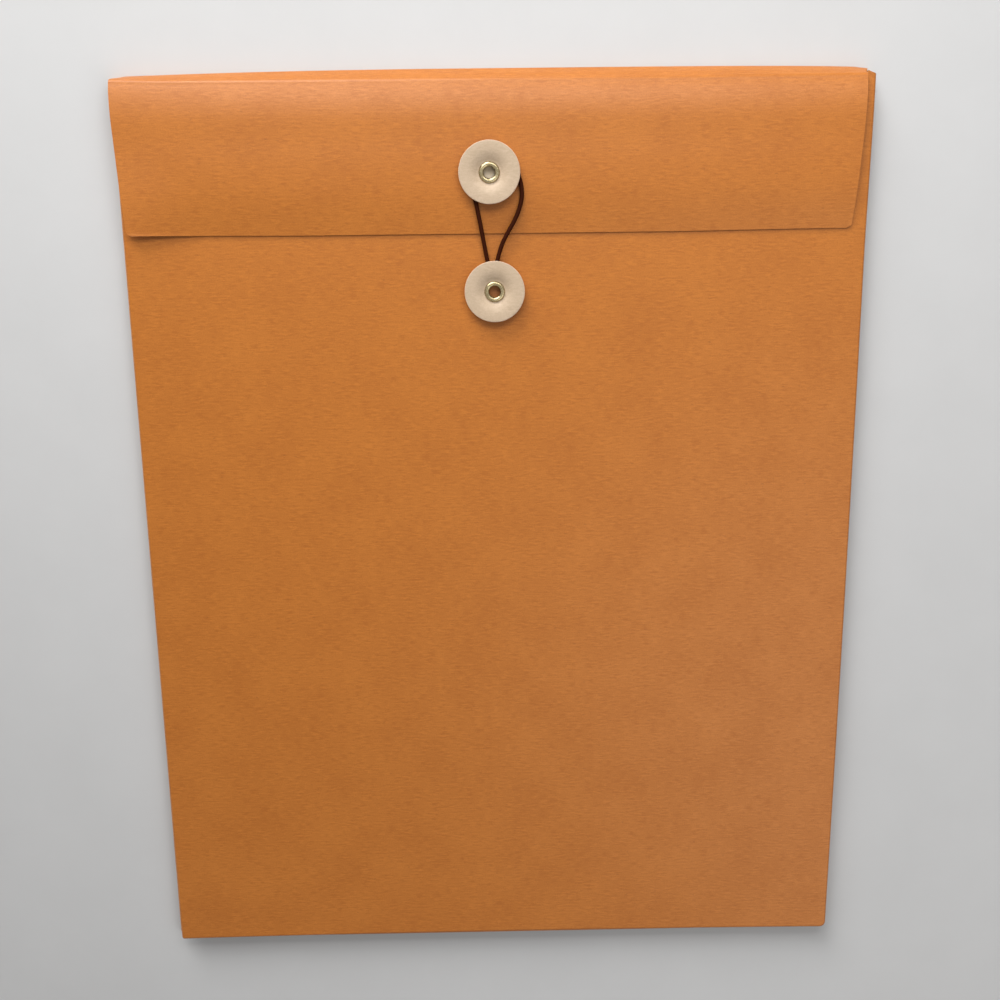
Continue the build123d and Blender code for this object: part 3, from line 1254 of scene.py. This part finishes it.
@dataclass
class Button:
    """Dished fibre disc that turns on an eyelet, with the patch behind the eyelet."""

    name: str
    carrier: Body
    patch_finish: PaperFinish
    patch_slot: str
    segments: int = 96
    eyelet_segments: int = 64
    seat: float = 0.10
    bore: float = 2.45
    hub: float = 3.65
    rim: float = 10.0
    hub_height: float = 0.75
    dish: float = 2.15
    funnel: Span = (5.6, 1.92)
    board: float = 0.80
    hub_rounding: float = 0.5
    funnel_rounding: float = 1.6
    rim_rounding: float = 0.22
    eyelet_bore: float = 1.85
    head_proud: float = 0.15
    head_steps: int = 16
    clinch: Span = (3.2, 0.30)
    clinch_rounding: float = 0.12
    patch_rounding: float = 0.06

    @property
    def place(self) -> Vector:
        """Axis of the button, at the face of the paper under it."""
        low, high = box_mm(f"{self.name}_disc")
        return Vector(((low.x + high.x) / 2, (low.y + high.y) / 2, low.z - self.seat))

    def build(self, finishes: Finishes) -> list[Object]:
        """Build the disc, the eyelet and the patch."""
        return [self.build_disc(finishes), self.build_eyelet(finishes), self.build_patch(finishes)]

    def build_disc(self, finishes: Finishes) -> Object:
        """Build the disc.

        Args:
            finishes: Materials of the scene.

        Returns:
            The piece.
        """
        node = f"{self.name}_disc"
        place = self.place
        under = [(self.hub, self.hub_height), self.funnel, (self.rim, self.dish)]
        over = [(radius, height + self.board) for radius, height in under]
        lathe = Lathe(self.bore, self.hub_height)
        lathe.to(*under, *reversed(over), (self.bore, self.hub_height + self.board))
        shape = lathe.turned(place, self.segments)
        # Faces of the rim take the second slot: the paler edge with its painted highlight.
        for face in shape.faces:
            outer = all((vert.co - place).xy.length > self.rim - FIT for vert in face.verts)
            face.material_index = 1 if outer else 0
        roundings = (self.hub_rounding, self.funnel_rounding, self.rim_rounding)
        for rounding, *rings in zip(roundings, under, over):
            soften(shape, place, rounding, *rings)
        piece = make_piece(shape, f"{node}_board", finishes.of(FIBRE_BOARD, FIBRE_EDGE_AND_HIGHLIGHT))
        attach(piece, self.name)
        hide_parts(node)
        return piece

    def build_eyelet(self, finishes: Finishes) -> Object:
        """Build the eyelet with its rolled head and clinched tail.

        Args:
            finishes: Materials of the scene.

        Returns:
            The piece.
        """
        node = f"{self.name}_eyelet"
        place = self.place
        low, high = box_mm(node)
        bore = self.eyelet_bore
        half = ((high.x - low.x) / 2 + self.head_proud - bore) / 2
        barrel = self.bore - self.seat
        head_low = self.hub_height + self.board + self.seat
        crown = high.z - place.z + self.hub_height - self.seat
        clinch, clinch_height = self.clinch
        clinch_low = low.z - place.z
        clinch_high = clinch_low + clinch_height
        rise = crown - head_low
        radius = (half**2 + rise**2) / (2 * rise)
        rings = [(clinch, clinch_high), (clinch, clinch_low)]
        lathe = Lathe(bore, clinch_low)
        lathe.to((bore, head_low))
        lathe.arc((bore + half, crown - radius), 2 * asin(half / radius), self.head_steps)
        lathe.to((barrel, head_low), (barrel, clinch_high), *rings)
        shape = lathe.turned(place, self.eyelet_segments)
        soften(shape, place, self.clinch_rounding, *reversed(rings))
        piece = make_piece(shape, f"{node}_ring", finishes.of(BRASS))
        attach(piece, self.carrier.value)
        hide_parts(node)
        return piece

    def build_patch(self, finishes: Finishes) -> Object:
        """Build the round patch that covers the clinch.

        Args:
            finishes: Materials of the scene.

        Returns:
            The piece.
        """
        node = f"{self.name}_patch"
        low, high = box_mm(node)
        size = high - low
        place = low + Vector((size.x / 2, size.y / 2, 0))
        rings = [(size.x / 2, 0.0), (size.x / 2, size.z)]
        lathe = Lathe(0.0, 0.0)
        lathe.to(*rings, (0.0, size.z))
        shape = lathe.turned(place, self.eyelet_segments, closed=False)
        soften(shape, place, self.patch_rounding, *rings)
        piece = make_piece(shape, f"{node}_paper", finishes.of(self.patch_finish))
        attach(piece, self.carrier.value)
        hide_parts(node)
        return piece


@dataclass
class ElasticLoop:
    """Braided elastic loop from under the front button's disc round the flap button's eyelet."""

    diameter: float = 0.0014
    length: float = 0.0905
    sides: int = 20
    order: int = 3
    resolution: int = 8
    route: tuple[Point, ...] = (
        (-0.00215, 0.09105, 0.00660), (-0.00285, 0.09445, 0.00686), (-0.00370, 0.09915, 0.00737),
        (-0.00455, 0.10385, 0.00790), (-0.00540, 0.10845, 0.00834), (-0.00635, 0.11325, 0.00870),
        (-0.00735, 0.11745, 0.00888), (-0.00815, 0.12125, 0.00895), (-0.00805, 0.12505, 0.00896),
        (-0.00640, 0.12835, 0.00896), (-0.00330, 0.13035, 0.00896), (0.00050, 0.13065, 0.00896),
        (0.00400, 0.12915, 0.00896), (0.00630, 0.12625, 0.00896), (0.00730, 0.12285, 0.00895),
        (0.00835, 0.11945, 0.00890), (0.00875, 0.11605, 0.00882), (0.00825, 0.11245, 0.00866),
        (0.00660, 0.10825, 0.00836), (0.00425, 0.10425, 0.00797), (0.00225, 0.10075, 0.00757),
        (0.00105, 0.09725, 0.00718), (0.00020, 0.09405, 0.00685), (-0.00055, 0.09105, 0.00660),
    )

    def centreline(self) -> list[Vector]:
        """Smooth line of the loop.

        Returns:
            Points along it, in metres.
        """
        curve = bpy.data.curves.new("elastic_route", "CURVE")
        curve.dimensions = "3D"
        spline = curve.splines.new("NURBS")
        spline.points.add(len(self.route) - 1)
        for point, place in zip(spline.points, self.route):
            point.co = (*place, 1.0)
        spline.order_u = self.order
        spline.use_endpoint_u = True
        spline.resolution_u = self.resolution
        holder = bpy.data.objects.new("elastic_route", curve)
        line = bpy.data.meshes.new_from_object(holder)
        points = [vert.co.copy() for vert in line.vertices]
        bpy.data.objects.remove(holder)
        bpy.data.curves.remove(curve)
        bpy.data.meshes.remove(line)
        return points

    def build(self, finishes: Finishes) -> Object:
        """Build the tube and its braid's UV map.

        Args:
            finishes: Materials of the scene.

        Returns:
            The piece.
        """
        points = self.centreline()
        shape = self.tube(points)
        bmesh.ops.scale(shape, vec=(1 / MM, 1 / MM, 1 / MM), verts=shape.verts)
        piece = make_piece(shape, "elastic_sheath", finishes.of(SHEATH))
        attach(piece, Body.FRONT.value)
        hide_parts("elastic_loop")
        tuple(points[0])
        return piece

    def tube(self, points: list[Vector]) -> BMesh:
        """Round tube along a line, with closed ends.

        Args:
            points: The line.

        Returns:
            The shape.
        """
        shape = bmesh.new()
        way = shape.verts.layers.float.new("way")
        around = shape.verts.layers.float.new("around")
        heading = (points[1] - points[0]).normalized()
        turn = Vector((0, 0, 1)).rotation_difference(heading).to_matrix().to_4x4()
        start = Matrix.Translation(points[0]) @ turn
        ring = bmesh.ops.create_circle(
            shape, cap_ends=False, radius=self.diameter / 2, segments=self.sides, matrix=start
        )["verts"]
        for number, vert in enumerate(ring):
            vert[around] = number / self.sides
        travelled = 0.0
        for before, here, after in zip(points, points[1:], points[2:] + [2 * points[-1] - points[-2]]):
            travelled += (here - before).length
            rim = {edge for vert in ring for edge in vert.link_edges if edge.is_boundary or edge.is_wire}
            made = bmesh.ops.extrude_edge_only(shape, edges=list(rim))["geom"]
            ring = [item for item in made if isinstance(item, BMVert)]
            turn = heading.rotation_difference((after - before).normalized())
            heading = (after - before).normalized()
            bmesh.ops.translate(shape, vec=here - before, verts=ring)
            bmesh.ops.rotate(shape, cent=here, matrix=turn.to_matrix(), verts=ring)
            for vert in ring:
                vert[way] = travelled
        layer = shape.loops.layers.uv.new("sheath")
        for face in shape.faces:
            shares = [loop.vert[around] for loop in face.loops]
            wraps = max(shares) - min(shares) > 0.5
            for loop, share in zip(face.loops, shares):
                turned = share + 1.0 if wraps and share < 0.5 else share
                loop[layer].uv = (turned, loop.vert[way] / self.diameter)
        bmesh.ops.edgeloop_fill(shape, edges=[edge for edge in shape.edges if edge.is_boundary])
        bmesh.ops.recalc_face_normals(shape, faces=shape.faces)
        return shape


@dataclass
class Gussets:
    """Side and bottom gussets and their glued seams, which keep their solid shapes."""

    sides: tuple[str, ...] = ("left", "right", "bottom")
    kinds: tuple[str, ...] = ("gusset_back_half", "gusset_front_half", "back_seam", "front_seam")

    def dress(self, finishes: Finishes) -> list[Object]:
        """Give each strip its paper.

        Args:
            finishes: Materials of the scene.

        Returns:
            The strips.
        """
        strips = [frame["nodes"][f"{side}_{kind}"] for side in self.sides for kind in self.kinds]
        for strip in strips:
            strip.data.materials.clear()
            strip.data.materials.append(finishes.of(GUSSET)[0])
        return strips


@dataclass(frozen=True)
class SoftBox:
    """Rectangular soft lamp."""

    name: str
    place: Point
    target: Point
    size: Span
    power: float

    def hang(self) -> None:
        """Put the lamp in the scene, turned to its target."""
        data = bpy.data.lights.new(self.name, "AREA")
        data.shape = "RECTANGLE"
        data.size, data.size_y = self.size
        data.energy = self.power
        data.color = WHITE
        lamp = bpy.data.objects.new(self.name, data)
        lamp.location = self.place
        towards = Vector(self.target) - Vector(self.place)
        lamp.rotation_euler = towards.to_track_quat("-Z", "Y").to_euler()
        lamp.visible_camera = False
        bpy.context.scene.collection.objects.link(lamp)


@dataclass
class Studio:
    """Pale table, soft light from the upper left and the camera of the photograph."""

    floor_size: float = 8.0
    floor_cells: int = 4
    lens: float = 39.24
    sensor: float = 36.0
    near: float = 0.01
    camera_place: Point = (-0.00383, 0.09484, 0.37665)
    camera_turn: Point = (-12.391, -0.713, -0.787)
    sky_way: Point = (-0.15, 0.60, 0.78)
    sky_span: Span = (-0.1, 1.0)
    sky_level: Span = (0.06, 0.34)
    lamps: tuple[SoftBox, ...] = (
        SoftBox("key", (-0.45, 1.30, 0.50), (0.0, 0.05, 0.0), (0.90, 0.50), 18.0),
        SoftBox("window", (0.0, 0.36, 0.36), (0.0, 0.13, 0.0), (0.50, 0.18), 1.40),
        SoftBox("fill", (0.30, -0.25, 0.50), (0.02, -0.05, 0.0), (0.50, 0.50), 0.95),
    )

    def build(self, finishes: Finishes) -> None:
        """Build the table, the lights and the camera.

        Args:
            finishes: Materials of the scene.
        """
        shape = bmesh.new()
        cells = self.floor_cells
        bmesh.ops.create_grid(shape, x_segments=cells, y_segments=cells, size=self.floor_size / MM)
        floor = make_piece(shape, "table", finishes.of(TABLE))
        self.build_world()
        for lamp in self.lamps:
            lamp.hang()
        self.build_camera()
        bpy.context.scene.view_settings.view_transform = "Standard"

    def build_world(self) -> None:
        """Soft light that is strongest from beyond the flap, with a pale backdrop for the camera."""
        world = bpy.data.worlds.new("studio")
        world.use_nodes = True
        bpy.context.scene.world = world
        board = NodeBoard(world.node_tree)
        sides = {0: board.add("ShaderNodeTexCoord").outputs["Generated"], 1: self.sky_way}
        facing = board.add("ShaderNodeVectorMath", sides, operation="DOT_PRODUCT").outputs["Value"]
        levels = (board.spread(facing, self.sky_span, self.sky_level), BACKDROP)
        light, backdrop = (
            board.add("ShaderNodeBackground", {"Color": opaque(WHITE), "Strength": level}).outputs[0]
            for level in levels
        )
        surface = board.mix(board.background_rays(), light, backdrop)
        board.add("ShaderNodeOutputWorld", {"Surface": surface})

    def build_camera(self) -> None:
        """Camera at the photograph's place and angle."""
        data = bpy.data.cameras.new("camera")
        data.lens = self.lens
        data.sensor_width = self.sensor
        data.sensor_fit = "HORIZONTAL"
        data.clip_start = self.near
        camera = bpy.data.objects.new("camera", data)
        axis = Vector(self.camera_turn)
        camera.rotation_mode = "QUATERNION"
        camera.rotation_quaternion = Quaternion(axis.normalized(), radians(axis.length))
        camera.location = self.camera_place
        bpy.context.scene.collection.objects.link(camera)
        bpy.context.scene.camera = camera


def main() -> None:
    """Build the envelope and its studio."""
    logging.basicConfig(level=logging.INFO, format="%(name)s: %(message)s")
    finishes = Finishes()
    Studio().build(finishes)
    pieces = [part.build(finishes) for part in (ElasticLoop(), BackPanel(), FrontPanel(), FlapSheet())]
    pieces += Button("flap_button", Body.FLAP, CREAM_PATCH, "flap_patch_paper").build(finishes)
    pieces += Button("front_button", Body.FRONT, KRAFT_PATCH, "front_patch_paper").build(finishes)
    pieces += Gussets().dress(finishes)
    for piece in pieces:
        LOG.info("%s: %d faces", piece.name, len(piece.data.polygons))


if __name__ == "__main__":
    main()
